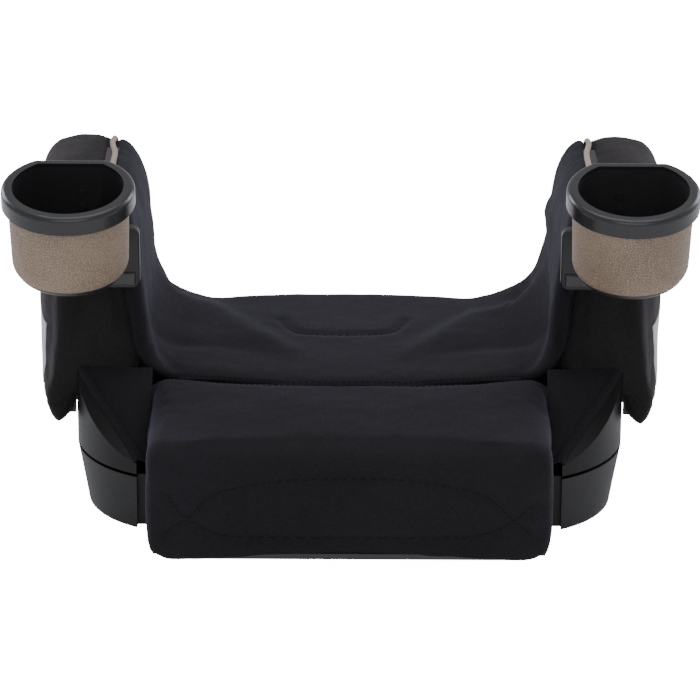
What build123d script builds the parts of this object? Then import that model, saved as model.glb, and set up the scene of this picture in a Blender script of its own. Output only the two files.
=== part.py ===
from build123d import *
import os

# A backless booster seat for a child, in millimetres.
# +Z is up, the child faces -Y, and the origin is on the floor under the middle of the seat.
# Every right-hand piece (+X) is modelled once and mirrored to make the left-hand one.
# A tray and a shell make the plastic base. The shell carries a padded seat with a deep nose,
# two side bolsters and two upholstered armrests. A bracket on the front of each armrest has a
# pocket, and the tongue of a cup holder drops into it and lifts out of it.

# ---- base --------------------------------------------------------------------------------
WALL = 3.0                  # every moulded plastic wall
FIT = 0.3                   # gap between neighbouring pieces
BASE_HALF_WIDTH = 211.0     # at the groove between the tray and the shell
BASE_REAR = 175.0
REAR_CORNER = 42.0
BASE_FLARE = 8.0            # the tray narrows by this much on each side towards the floor
FLANK_INNER = BASE_HALF_WIDTH - 49.0    # the two side flanks start here, beside the nose
FLANK_FRONT = -90.0
FLANK_BEND = (BASE_HALF_WIDTH - 19.0, -67.0)
FLANK_BACK = -21.0          # where a flank's curve meets the straight side
NOSE_HALF_WIDTH = FLANK_INNER - 14.0    # the base's nose, under the cover
NOSE_FRONT = -158.0
NOSE_UNDERCUT = (24.0, 14.5)            # slope under the nose's front: depth and height
SLOT_END = -58.0            # the slot between the nose and each flank ends here in the shell
TRAY_SLOT_END = -84.0       # and here in the tray
TRAY_BOTTOM = 1.5
TRAY_TOP = 44.0
TRAY_FLOOR = 11.0           # underside of the tray's floor, above the ribs
RIB = 2.4
RIB_PITCH = 52.0
TRIM = 2.6                  # thickness of the side trims
TRIM_REAR = BASE_REAR - 55.0
GROOVE = 2.5                # shows all round between the tray and the shell
SHELL_BOTTOM = TRAY_TOP + GROOVE
DECK_TOP = SHELL_BOTTOM + 29.5
SHOULDER_TOP = DECK_TOP + 29.0          # the flanks rise to the armrests in a slope
SHOULDER_TOP_Y = -28.0
SHOULDER_TOE = DECK_TOP - 21.0
SHOULDER_REAR = 20.0
SKIRT_TURN = 10.0           # the fabric on the slope turns down by this much over the edge
BOSS_RADIUS = 6.0
FOOT_RADIUS = 13.0
FOOT_HEIGHT = 6.0
FOOT_X = BASE_HALF_WIDTH - 61.0
FOOT_PLACES = [(FOOT_X, -40.0), (FOOT_X, BASE_REAR - 55.0)]

# ---- seat --------------------------------------------------------------------------------
CLOTH = 2.8                 # laminated cover fabric
SEAT_REAR = BASE_REAR - 11.0            # rear of the seat's foam
SEAT_REAR_TOP = DECK_TOP + 13.5
SEAT_SEAM = -30.0           # the front panel starts here
SEAT_SEAM_TOP = DECK_TOP + 18.0
SEAT_FRONT = NOSE_FRONT - 14.0
SEAT_FRONT_TOP = DECK_TOP + 24.0
SEAT_EDGE_ROUND = 16.0
FLAP_BOTTOM = 20.0          # the foam's lower edge on the nose
HEM_DROP = 6.0              # the cover reaches this much lower
HEM_STRIP = (2.0, 4.5)      # plastic strip in the hem: thickness and height
BOLSTER_FOOT = BASE_HALF_WIDTH - 93.0
BOLSTER_CREST = DECK_TOP + 58.0         # top of the bolster where it meets the armrest
BOLSTER_MIDDLE = 11.0       # rise of the bolster half way across
BOLSTER_LIP = (6.0, 16.0)   # width and height of its steep last part

# ---- armrests ----------------------------------------------------------------------------
ARM_INNER_FOOT = BASE_HALF_WIDTH - 51.0
ARM_INNER_TOP = ARM_INNER_FOOT + 7.0
ARM_OUTER_TOP = BASE_HALF_WIDTH + 32.0  # outer side at the rear end
ARM_OUTER_FOOT = BASE_HALF_WIDTH + 27.0
ARM_SIDE_GAP = 1.0          # between the shell's side and the panel that hangs over it
ARM_NARROWING = 14.0        # the outer side comes in by this much at the front end, at the top
ARM_FOOT_NARROWING = 5.0    # and by this much at the hem
ARM_TOP = 240.0
ARM_BACK_BEVEL = 26.0       # slope on the rear end of the top
ARM_HEM = DECK_TOP - 10.0   # the outer panel hangs down over the shell to here
ARM_FRONT = -27.0
ARM_REAR = BASE_REAR - 15.0
ARM_ROUND_IN = 22.0
ARM_ROUND_OUT = 26.0
ARM_FOAM = 6.0
PIPING_X = ARM_INNER_TOP + 7.4
PIPING_Z = ARM_TOP - 2.1
PIPING_RADIUS = 2.4
PIPING_STANDOFF = 3.0
PIPING_END = ARM_TOP - 11.0
LABEL = (-2.0, 68.0, 84.0, 134.0)   # y and z limits of the blank label
LABEL_THICKNESS = 0.6

# ---- cup holders -------------------------------------------------------------------------
CUP_X = BASE_HALF_WIDTH - 1.5
CUP_TOP_Z = ARM_TOP + 37.0
CUP_TILT = 9.0              # degrees, the top leans forward
CUP_HEIGHT = 75.5
CUP_RADIUS = 43.4           # outside of the liner at its top
CUP_FLAT = CUP_RADIUS - 7.6 # distance of the liner's flat back from the cup's axis
CUP_TOP_Y = ARM_FRONT - CUP_FLAT - 18.2
CUP_NARROWING = 1.8         # the liner is this much smaller at its bottom
CUP_WALL = 2.0
CUP_BOTTOM_ROUND = 12.0
RIM_OVERHANG = 6.4
RIM_BACK_OVERHANG = 5.7
RIM_CORNER = 8.0
RIM_HEIGHT = 14.0
RIM_CAP = 3.2               # the rim's material above the liner's edge
RIM_BEVEL = 4.0
WRAP = 1.7
WRAP_BACK = 28.0            # the wrap ends here on the cup's back

BRACKET_IN = ARM_INNER_FOOT
BRACKET_OUT = BRACKET_IN + 64.0
BRACKET_TOP = ARM_TOP - 14.0
BRACKET_BOTTOM = BRACKET_TOP - 49.0
BRACKET_DEPTH = 8.1
BRACKET_CORNER = 6.0
BRACKET_EDGE = 1.0
TONGUE_X = BRACKET_IN + 38.0
TONGUE_WIDTH = 26.0
TONGUE_THICKNESS = 4.2
TONGUE_BOTTOM = BRACKET_BOTTOM + 7.0
TONGUE_TOP = BRACKET_TOP + 30.0
TONGUE_EDGE = 1.2
TONGUE_CLEARANCE = 0.2
POCKET_BACK = 1.8           # the bracket's wall behind the pocket
WEB_WIDTH = 18.0
WEB_X = TONGUE_X + 4.0
WEB_BOTTOM = BRACKET_TOP + 4.0
TAB_IN = BRACKET_IN + 3.4
TAB_BOTTOM = BRACKET_BOTTOM + 3.0
TAB_SIZE = (17.6, 10.0)     # width and height
TAB_EDGE = 1.2
TAB_THICKNESS = 6.0
TAB_PROUD = 1.9
TAB_TRAVEL = 1.6
TAB_CLEARANCE = 0.2

# ---- fasteners ---------------------------------------------------------------------------
SCREW = 2.0                 # shank radius
SCREW_HEAD = 4.0
SCREW_HEAD_HEIGHT = 2.4
SCREW_GAP = 0.05
BASE_SCREW_TOP = DECK_TOP - 12.0
ARM_SCREW_TOP = DECK_TOP + 14.0
ARM_RIB_TOP = ARM_SCREW_TOP + 6.0
BRACKET_SCREW = 1.6         # shank radius of the small screws
BRACKET_HEAD = 3.2
BRACKET_HEAD_HEIGHT = 2.3
CUP_HEAD = 3.0
CUP_HEAD_HEIGHT = 1.2
CUP_HEAD_STANDOFF = 1.6     # keeps the head clear of the liner's tapering wall
CUP_SCREW_LENGTH = 8.0
HEAD_OVERLAP = 0.1          # a shank starts this far inside its head
POST_RADIUS = 5.0           # posts behind the bracket
BASE_SCREW_X = NOSE_HALF_WIDTH - 30.0
BASE_SCREWS = [(BASE_SCREW_X, NOSE_FRONT + 38.0), (BASE_SCREW_X, 20.0), (BASE_SCREW_X, BASE_REAR - 45.0)]
ARM_SCREW_X = ARM_INNER_FOOT + 30.0
ARM_SCREWS = [(ARM_SCREW_X, 20.0), (ARM_SCREW_X, 92.0)]
BRACKET_SCREW_Z = BRACKET_TOP - 18.0
BRACKET_SCREWS = [(BRACKET_IN + 20.0, BRACKET_SCREW_Z), (BRACKET_IN + 57.0, BRACKET_SCREW_Z)]
CUP_SCREWS = [-24.0, -36.0]         # depth below the cup's top, along its axis

BIG = 700.0


def block(x0, x1, y0, y1, z0, z1):
    """A box between two corners."""
    centre = Pos((x0 + x1) / 2, (y0 + y1) / 2, (z0 + z1) / 2)
    return centre * Box(x1 - x0, y1 - y0, z1 - z0)


def both(shape):
    """A right-hand shape and its left-hand twin."""
    return shape + mirror(shape, about=Plane.YZ)


def upright(x, y, radius, z0, z1):
    return Pos(x, y, (z0 + z1) / 2) * Cylinder(radius, z1 - z0)


def across(points, x0, x1):
    """A prism along X over a closed outline of (y, z) points."""
    outline = make_face(Polyline(*[(x0, y, z) for y, z in points], close=True))
    return extrude(outline, amount=x1 - x0, dir=(1, 0, 0))


# ---- base --------------------------------------------------------------------------------
def base_plan(z, inset=0.0, flare=0.0, slot_end=SLOT_END):
    """The base's outline at height z, with a curved flank on each side of the nose."""
    nose = NOSE_HALF_WIDTH - inset
    front = NOSE_FRONT + inset
    slot = slot_end + inset
    tip = (FLANK_INNER + inset, FLANK_FRONT + inset)
    bend = (FLANK_BEND[0] - 0.4 * flare - 0.75 * inset, FLANK_BEND[1] + 0.65 * inset)
    side = BASE_HALF_WIDTH - flare - inset
    rear = BASE_REAR - flare - inset
    corner = REAR_CORNER - inset
    half = [
        Polyline((0, front), (nose, front), (nose, slot), (tip[0], slot), tip),
        ThreePointArc(tip, bend, (side, FLANK_BACK)),
        Line((side, FLANK_BACK), (side, rear - corner)),
        RadiusArc((side, rear - corner), (side - corner, rear), -corner),
        Line((side - corner, rear), (0, rear)),
    ]
    edges = Curve() + half
    whole = edges + mirror(edges, about=Plane.YZ)
    return Pos(0, 0, z) * make_face(whole.edges())


def tray_body(inset, z0, z1):
    """The tray's flared outside, moved inwards by inset."""
    body = loft([
        base_plan(TRAY_BOTTOM, inset, BASE_FLARE, TRAY_SLOT_END),
        base_plan(TRAY_TOP, inset, slot_end=TRAY_SLOT_END),
    ])
    return body & block(-BIG, BIG, -BIG, BIG, z0, z1)


def trim_zone(grow=0.0):
    start = (FLANK_INNER + NOSE_HALF_WIDTH) / 2
    return block(start, BIG, -BIG, TRIM_REAR + grow, 0, BIG)


def make_side_trim():
    """Lower side panel, which clips on the tray below the groove."""
    skin = tray_body(0, TRAY_BOTTOM, TRAY_TOP) - tray_body(TRIM, 0, BIG)
    return skin & trim_zone()


def make_base_tray():
    core = tray_body(TRIM + FIT, TRAY_BOTTOM, TRAY_TOP)
    body = core + (tray_body(0, TRAY_BOTTOM, TRAY_TOP) - both(trim_zone(FIT)))
    hollow = tray_body(TRIM + FIT + WALL, 0, BIG)
    body = body - (hollow & block(-BIG, BIG, -BIG, BIG, TRAY_FLOOR + WALL, BIG))
    under = hollow & block(-BIG, BIG, -BIG, BIG, 0, TRAY_FLOOR)
    for i in range(-3, 4):
        place = i * RIB_PITCH
        under -= block(place - RIB / 2, place + RIB / 2, -BIG, BIG, 0, BIG)
        under -= block(-BIG, BIG, place - RIB / 2, place + RIB / 2, 0, BIG)
    for x, y in BASE_SCREWS:
        under -= both(upright(x, y, SCREW_HEAD + WALL, 0, BIG))
    for x, y in FOOT_PLACES:
        under -= both(upright(x, y, FOOT_RADIUS + WALL, 0, BIG))
    body -= under
    for x, y in BASE_SCREWS:
        body += both(upright(x, y, BOSS_RADIUS, TRAY_FLOOR, TRAY_TOP))
    for x, y in BASE_SCREWS:
        body -= both(upright(x, y, SCREW + SCREW_GAP, 0, BIG))
        body -= both(upright(x, y, SCREW_HEAD + FIT, 0, TRAY_FLOOR))
    for x, y in FOOT_PLACES:
        body -= both(upright(x, y, FOOT_RADIUS + SCREW_GAP, 0, FOOT_HEIGHT + SCREW_GAP))
    depth, height = NOSE_UNDERCUT
    low, front = TRAY_BOTTOM - 1, NOSE_FRONT - 1
    return body - across([(front, low), (NOSE_FRONT + depth, low), (front, TRAY_BOTTOM + height)], -BIG, BIG)


def shoulder(inset):
    """The sloping top of a flank, moved inwards by inset."""
    slope = [
        (FLANK_FRONT - BIG, SHOULDER_TOE - inset),
        (FLANK_FRONT, SHOULDER_TOE - inset),
        (SHOULDER_TOP_Y, SHOULDER_TOP - inset),
        (SHOULDER_REAR - inset, SHOULDER_TOP - inset),
        (SHOULDER_REAR - inset, SHELL_BOTTOM),
        (FLANK_FRONT - BIG, SHELL_BOTTOM),
    ]
    plan = extrude(base_plan(SHELL_BOTTOM, inset), amount=SHOULDER_TOP)
    return across(slope, FLANK_INNER + inset, BASE_HALF_WIDTH + FIT - inset) & plan


def shell_body(inset):
    deck = extrude(base_plan(SHELL_BOTTOM, inset), amount=DECK_TOP - inset - SHELL_BOTTOM)
    slot_front = (FLANK_FRONT - BIG, SHOULDER_TOE - inset)
    above = across([slot_front, (FLANK_FRONT, SHOULDER_TOE - inset), (FLANK_FRONT, BIG),
                    (FLANK_FRONT - BIG, BIG)], FLANK_INNER, BIG)
    top = SHOULDER_TOP - inset
    rise = (SHOULDER_TOP - SHOULDER_TOE) / (SHOULDER_TOP_Y - FLANK_FRONT)
    meet = SHOULDER_TOP_Y - (top - DECK_TOP) / rise
    ramp = across([(FLANK_FRONT, SHOULDER_TOE - inset), (meet, DECK_TOP), (meet, BIG),
                   (FLANK_FRONT, BIG)], FLANK_INNER, BIG)
    deck = deck - both(above + ramp)
    arm_zone = block(0, BIG, ARM_FRONT - FIT, BIG, DECK_TOP - inset, BIG)
    return deck + both(shoulder(inset) - arm_zone)


def make_seat_shell():
    body = shell_body(0) - Pos(0, 0, -FIT) * shell_body(WALL)
    posts = [both(upright(x, y, BOSS_RADIUS, SHELL_BOTTOM, DECK_TOP - WALL / 2)) for x, y in BASE_SCREWS]
    for post in posts:
        body += post
    for x, y in BASE_SCREWS:
        body -= both(upright(x, y, SCREW - SCREW_GAP, 0, DECK_TOP - WALL))
        body -= both(upright(x, y, SCREW + SCREW_GAP, 0, BASE_SCREW_TOP + FIT))
    for x, y in ARM_SCREWS:
        body -= both(upright(x, y, SCREW + SCREW_GAP, 0, BIG))
    return body


def make_base_screws():
    """Long screws through the tray's bosses into the shell's posts."""
    screws = []
    for x, y in BASE_SCREWS:
        shank = upright(x, y, SCREW, TRAY_FLOOR, BASE_SCREW_TOP)
        head = upright(x, y, SCREW_HEAD, TRAY_FLOOR - SCREW_HEAD_HEIGHT, TRAY_FLOOR)
        screws.append(both(shank + head))
    return screws


def make_feet():
    """Rubber pads pressed into round seats under the tray."""
    return [both(upright(x, y, FOOT_RADIUS, 0, FOOT_HEIGHT)) for x, y in FOOT_PLACES]


def make_corner_skirt():
    """Fabric panel that covers a flank's slope and turns down over its outer edge."""
    cap = shoulder(-FIT - CLOTH) - shoulder(-FIT)
    rise = (SHOULDER_TOP - SHOULDER_TOE) / (SHOULDER_TOP_Y - FLANK_FRONT)
    start = FLANK_FRONT - SKIRT_TURN
    low = SHOULDER_TOE - SKIRT_TURN * (1 + rise)
    end = ARM_FRONT - FIT - CLOTH
    keep = across([(start, low), (end, low + rise * (end - start)), (end, BIG), (start, BIG)], 0, BIG)
    over_deck = block(0, FLANK_INNER, SLOT_END - FIT, BIG, 0, DECK_TOP + FIT)
    return (cap & keep) - over_deck


# ---- seat --------------------------------------------------------------------------------
def seat_profile(grow, bottom):
    """Outline of the padded top and nose in (y, z), grown outwards by grow."""
    return [
        (SEAT_SEAM, SEAT_SEAM_TOP + grow),
        (SEAT_FRONT + SEAT_EDGE_ROUND, SEAT_FRONT_TOP + grow),
        (SEAT_FRONT - grow, SEAT_FRONT_TOP - SEAT_EDGE_ROUND + grow),
        (SEAT_FRONT - grow, bottom),
        (NOSE_FRONT - FIT, bottom),
        (NOSE_FRONT - FIT, DECK_TOP + FIT),
        (SEAT_SEAM, DECK_TOP + FIT),
    ]


def seat_block(grow, bottom):
    """The seat's front panel with its nose, and the flat rear panel between the bolsters."""
    front = across(seat_profile(grow, bottom), -NOSE_HALF_WIDTH - grow, NOSE_HALF_WIDTH + grow)
    rear_outline = [
        (SEAT_SEAM, DECK_TOP + FIT),
        (SEAT_SEAM, SEAT_SEAM_TOP + grow),
        (SEAT_REAR + grow, SEAT_REAR_TOP + grow),
        (SEAT_REAR + grow, DECK_TOP + FIT),
    ]
    half = BOLSTER_FOOT - CLOTH - FIT + grow
    return front + across(rear_outline, -half, half)


def nose_sides(reach):
    """Side walls of the cover that run down into the slots beside the nose."""
    start = NOSE_HALF_WIDTH + FIT / 2
    end = start + CLOTH
    middle = TRAY_SLOT_END - FIT
    front = block(start, end, SEAT_FRONT - CLOTH, middle, FLAP_BOTTOM - HEM_DROP, reach)
    return front + block(start, end, middle, SLOT_END - FIT, SHELL_BOTTOM, reach)


def make_seat_foam():
    return seat_block(0, FLAP_BOTTOM)


def make_seat_cover():
    skin = seat_block(CLOTH + FIT / 2, FLAP_BOTTOM - HEM_DROP) - seat_block(FIT / 2, FLAP_BOTTOM - BIG)
    skin = skin - block(-BIG, BIG, NOSE_FRONT - FIT - 2 * CLOTH, NOSE_FRONT, 0, FLAP_BOTTOM)
    skin = skin + both(nose_sides(DECK_TOP + FIT * 2))
    return skin - block(-BOLSTER_FOOT - BIG, BIG, SEAT_SEAM + FIT, BIG, 0, DECK_TOP + FIT)


def make_hem_strip():
    """Stiff strip sewn into the flap's hem, below the foam."""
    thick, high = HEM_STRIP
    low = FLAP_BOTTOM - high - FIT
    half = NOSE_HALF_WIDTH - SEAT_EDGE_ROUND
    return block(-half, half, SEAT_FRONT + FIT, SEAT_FRONT + FIT + thick, low, low + high)


def make_bolster_foam():
    crest = ARM_INNER_FOOT - FIT
    outline = [
        (BOLSTER_FOOT, DECK_TOP + FIT),
        (BOLSTER_FOOT, SEAT_REAR_TOP),
        ((BOLSTER_FOOT + crest) / 2, SEAT_REAR_TOP + BOLSTER_MIDDLE),
        (crest - BOLSTER_LIP[0], BOLSTER_CREST - BOLSTER_LIP[1]),
        (crest, BOLSTER_CREST),
        (crest, DECK_TOP + FIT),
    ]
    face = make_face(Polyline(*[(x, SEAT_SEAM + FIT, z) for x, z in outline], close=True))
    return extrude(face, amount=ARM_REAR - SEAT_SEAM - FIT - CLOTH, dir=(0, 1, 0))


# ---- armrests ----------------------------------------------------------------------------
def arm_section(inset, y, narrowing, foot_narrowing):
    """Cross-section of an armrest at a depth, moved inwards by inset."""
    base_side = BASE_HALF_WIDTH + ARM_SIDE_GAP
    outline = Polyline(
        (ARM_INNER_FOOT + inset, DECK_TOP + FIT),
        (ARM_INNER_TOP + inset, ARM_TOP - inset),
        (ARM_OUTER_TOP - narrowing - inset, ARM_TOP - inset),
        (ARM_OUTER_FOOT - foot_narrowing - inset, ARM_HEM),
        (base_side, ARM_HEM),
        (base_side, DECK_TOP + FIT),
        close=True,
    )
    face = make_face(outline)
    inner_corner = face.vertices().sort_by(Axis.Y)[-2:].sort_by(Axis.X)[0]
    face = fillet(inner_corner, max(ARM_ROUND_IN - inset, 1.0))
    outer_corner = face.vertices().sort_by(Axis.Y)[-3:].sort_by(Axis.X)[-1]
    face = fillet(outer_corner, max(ARM_ROUND_OUT - inset, 1.0))
    return Plane.XZ.offset(-y) * face


def arm_block(inset):
    """An armrest's outside, moved inwards by inset, down over the shell's side."""
    front = ARM_FRONT + inset
    rear = ARM_REAR - inset
    block_shape = loft([
        arm_section(inset, front, ARM_NARROWING, ARM_FOOT_NARROWING),
        arm_section(inset, rear, 0.0, 0.0),
    ])
    top = ARM_TOP - inset
    slope = ARM_BACK_BEVEL - 0.6 * inset
    back_bevel = across([(rear - slope, top), (rear, top - slope), (rear + 1, top - slope),
                         (rear + 1, top + 1), (rear - slope, top + 1)], 0, BIG)
    return block_shape - back_bevel


def arm_layer(outer, thickness):
    """One layer of an armrest, open underneath."""
    inner = arm_block(outer + thickness)
    return arm_block(outer) - inner - Pos(0, 0, -WALL) * inner - Pos(0, 0, -3 * WALL) * inner


def post_places(radius, y0, y1):
    """Round pegs or holes behind the bracket, along Y."""
    made = []
    for x, z in BRACKET_SCREWS:
        made.append(Pos(x, (y0 + y1) / 2, z) * Rot(90, 0, 0) * Cylinder(radius, y1 - y0))
    return made


CORE_OUTSIDE = CLOTH + FIT + ARM_FOAM + FIT
CORE_FRONT = ARM_FRONT + CORE_OUTSIDE


def make_arm_cover():
    cover = arm_layer(0, CLOTH)
    for hole in post_places(POST_RADIUS + FIT, ARM_FRONT - 1, ARM_FRONT + 2 * CLOTH):
        cover -= hole
    return cover


def make_arm_foam():
    foam = arm_layer(CLOTH + FIT, ARM_FOAM)
    for hole in post_places(POST_RADIUS + FIT, ARM_FRONT, CORE_FRONT + FIT):
        foam -= hole
    return foam


def make_arm_core():
    """Hollow plastic armrest frame, with two ribs that take the screws from the deck."""
    core = arm_layer(CORE_OUTSIDE, WALL)
    inside = arm_block(CORE_OUTSIDE + FIT)
    for x, y in ARM_SCREWS:
        rib = block(0, BIG, y - WALL / 2, y + WALL / 2, DECK_TOP + FIT, ARM_RIB_TOP)
        post = upright(x, y, BOSS_RADIUS, DECK_TOP + FIT, ARM_RIB_TOP)
        core += (rib & inside) + post
    for x, y in ARM_SCREWS:
        core -= upright(x, y, SCREW + SCREW_GAP, 0, ARM_SCREW_TOP + FIT)
    for hole in post_places(BRACKET_SCREW + SCREW_GAP, ARM_FRONT, CORE_FRONT + 2 * WALL):
        core -= hole
    return core


def make_arm_screws():
    """Screws up through the deck into an armrest's ribs."""
    under_deck = DECK_TOP - WALL - FIT
    screws = []
    for x, y in ARM_SCREWS:
        shank = upright(x, y, SCREW, under_deck - 1, ARM_SCREW_TOP)
        head = upright(x, y, SCREW_HEAD, under_deck - SCREW_HEAD_HEIGHT, under_deck)
        screws.append(both(shank + head))
    return screws


def make_piping():
    """Cord sewn into the seam along an armrest's inner top edge and down its front."""
    front = ARM_FRONT - PIPING_STANDOFF
    path = FilletPolyline(
        (PIPING_X, ARM_REAR - ARM_BACK_BEVEL - PIPING_RADIUS, PIPING_Z),
        (PIPING_X, front, PIPING_Z),
        (PIPING_X, front, PIPING_END),
        radius=2 * PIPING_RADIUS,
    )
    cord = sweep(Plane(path @ 0, z_dir=path % 0) * Circle(PIPING_RADIUS), path=path)
    return cord - arm_block(-FIT / 3)


def make_label():
    """Blank sewn-on label on the outside of an armrest."""
    y0, y1, z0, z1 = LABEL
    skin = arm_block(-FIT / 3 - LABEL_THICKNESS) - arm_block(-FIT / 3)
    return skin & block(ARM_OUTER_FOOT - 20, BIG, y0, y1, z0, z1)


# ---- bracket on the armrest --------------------------------------------------------------
BRACKET_BACK = ARM_FRONT - FIT
BRACKET_FACE = BRACKET_BACK - BRACKET_DEPTH
POCKET_REAR = BRACKET_BACK - POCKET_BACK
TONGUE_REAR = POCKET_REAR - TONGUE_CLEARANCE
TONGUE_FACE = TONGUE_REAR - TONGUE_THICKNESS


def make_bracket():
    """Pocket that holds a cup holder's tongue, on two posts that reach the armrest's core."""
    plate = block(BRACKET_IN, BRACKET_OUT, BRACKET_FACE, BRACKET_BACK, BRACKET_BOTTOM, BRACKET_TOP)
    plate = fillet(plate.edges().filter_by(Axis.Y), BRACKET_CORNER)
    plate = chamfer(plate.faces().sort_by(Axis.Y)[0].edges(), BRACKET_EDGE)
    for post in post_places(POST_RADIUS, BRACKET_BACK - 1, CORE_FRONT - FIT / 3):
        plate += post
    half = TONGUE_WIDTH / 2 + TONGUE_CLEARANCE
    plate -= block(
        TONGUE_X - half, TONGUE_X + half, TONGUE_FACE - TONGUE_CLEARANCE, POCKET_REAR,
        TONGUE_BOTTOM - FIT, BIG,
    )
    gap = TAB_CLEARANCE
    plate -= block(
        TAB_IN - gap, TAB_IN + TAB_SIZE[0] + gap, -BIG, TAB_REAR + TAB_TRAVEL + FIT,
        TAB_BOTTOM - gap, TAB_BOTTOM + TAB_SIZE[1] + gap,
    )
    for hole in post_places(BRACKET_SCREW + SCREW_GAP, -BIG, BIG):
        plate -= hole
    sunk = BRACKET_FACE + BRACKET_HEAD_HEIGHT + SCREW_GAP
    for hole in post_places(BRACKET_HEAD + FIT, BRACKET_FACE - 1, sunk):
        plate -= hole
    return plate


TAB_FACE = BRACKET_FACE - TAB_PROUD
TAB_REAR = TAB_FACE + TAB_THICKNESS


def make_tab():
    """Release tab in the bracket's lower corner, pressed towards the armrest."""
    wide, high = TAB_SIZE
    tab = block(TAB_IN, TAB_IN + wide, TAB_FACE, TAB_REAR, TAB_BOTTOM, TAB_BOTTOM + high)
    return fillet(tab.faces().sort_by(Axis.Y)[0].edges(), TAB_EDGE)


def make_bracket_screws():
    screws = []
    under_head = BRACKET_FACE + BRACKET_HEAD_HEIGHT
    heads = post_places(BRACKET_HEAD, BRACKET_FACE, under_head)
    shanks = post_places(BRACKET_SCREW, under_head - HEAD_OVERLAP, CORE_FRONT + WALL - FIT)
    for head, shank in zip(heads, shanks):
        screws.append(both(head + shank))
    return screws


# ---- cup holder, in its own tilted frame whose origin is the middle of its top -------------
CUP_FRAME = Pos(CUP_X, CUP_TOP_Y, CUP_TOP_Z) * Rot(CUP_TILT, 0, 0)


def d_plan(z, radius, flat):
    """A circle with a flat back."""
    disc = Circle(radius) & (Pos(0, flat - BIG / 2) * Rectangle(BIG, BIG))
    return Pos(0, 0, z) * disc.face()


def cup_body(grow, top, bottom, rounding):
    """The liner's tapering outside, grown by grow, with a rounded bottom edge."""
    narrow = grow - CUP_NARROWING
    body = loft([
        d_plan(bottom, CUP_RADIUS + narrow, CUP_FLAT + narrow),
        d_plan(top, CUP_RADIUS + grow, CUP_FLAT + grow),
    ])
    return fillet(body.faces().sort_by(Axis.Z)[0].edges(), rounding)


def make_cup_liner():
    outside = cup_body(0, -RIM_CAP, -CUP_HEIGHT, CUP_BOTTOM_ROUND)
    inside = cup_body(-CUP_WALL, 0, CUP_WALL - CUP_HEIGHT, CUP_BOTTOM_ROUND - CUP_WALL)
    liner = outside - inside
    for z in CUP_SCREWS:
        liner -= cup_screw_hole(z, BRACKET_SCREW + SCREW_GAP, 0)
    return CUP_FRAME * liner


def cup_screw_hole(z, radius, start):
    reach = CUP_FLAT + WEB_WIDTH - start
    return Pos(WEB_X - CUP_X, start + reach / 2, z) * Rot(90, 0, 0) * Cylinder(radius, reach)


def make_cup_rim():
    """Wide rolled rim that snaps over the liner's edge."""
    radius = CUP_RADIUS + RIM_OVERHANG
    flat = CUP_FLAT + RIM_BACK_OVERHANG
    rim = extrude(d_plan(-RIM_HEIGHT, radius, flat), amount=RIM_HEIGHT)
    rim = fillet(rim.edges().filter_by(Axis.Z), RIM_CORNER)
    rim = fillet(rim.faces().sort_by(Axis.Z)[-1].edges(), RIM_BEVEL)
    seat = extrude(d_plan(-RIM_HEIGHT, CUP_RADIUS + FIT / 3, CUP_FLAT + FIT / 3), amount=RIM_HEIGHT - RIM_CAP)
    bore = extrude(d_plan(-RIM_HEIGHT, CUP_RADIUS - CUP_WALL, CUP_FLAT - CUP_WALL), amount=2 * RIM_HEIGHT)
    return CUP_FRAME * (rim - seat - bore)


def make_cup_wrap():
    """Leatherette wrap glued around the liner's front and sides."""
    outside = cup_body(WRAP, -RIM_HEIGHT - FIT, -CUP_HEIGHT + WRAP, CUP_BOTTOM_ROUND + WRAP)
    gap = FIT / 3
    inside = cup_body(gap, 0, -CUP_HEIGHT - gap, CUP_BOTTOM_ROUND)
    wrap = outside - inside - block(-BIG, BIG, WRAP_BACK, BIG, -BIG, BIG)
    return CUP_FRAME * wrap


def make_cup_hanger():
    """Tongue that drops into the bracket, with a web that carries the cup."""
    half = TONGUE_WIDTH / 2
    tongue = block(TONGUE_X - half, TONGUE_X + half, TONGUE_FACE, TONGUE_REAR, TONGUE_BOTTOM, TONGUE_TOP)
    tongue = chamfer(tongue.faces().sort_by(Axis.Z)[0].edges(), TONGUE_EDGE)
    web_half = WEB_WIDTH / 2
    web = block(WEB_X - web_half, WEB_X + web_half, CUP_TOP_Y, TONGUE_REAR - 1, WEB_BOTTOM, TONGUE_TOP)
    solid_cup = cup_body(FIT / 3, 0, -CUP_HEIGHT, CUP_BOTTOM_ROUND)
    hanger = tongue + (web - CUP_FRAME * solid_cup)
    for z in CUP_SCREWS:
        hanger -= CUP_FRAME * cup_screw_hole(z, BRACKET_SCREW + SCREW_GAP, CUP_FLAT - CUP_WALL)
    return hanger.solids().sort_by(Axis.Z)[-1] if len(hanger.solids()) > 1 else hanger


def make_cup_screws():
    """Two short screws from inside the liner into the hanger's web."""
    screws = []
    for z in CUP_SCREWS:
        under_head = CUP_FLAT - CUP_WALL - CUP_HEAD_STANDOFF
        place = Pos(WEB_X - CUP_X, under_head, z) * Rot(-90, 0, 0)
        middle = CUP_SCREW_LENGTH / 2 - HEAD_OVERLAP
        shank = place * Pos(0, 0, middle) * Cylinder(BRACKET_SCREW, CUP_SCREW_LENGTH)
        head = place * Pos(0, 0, -CUP_HEAD_HEIGHT / 2) * Cylinder(CUP_HEAD, CUP_HEAD_HEIGHT)
        screws.append(CUP_FRAME * (shank + head))
    return screws


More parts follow.
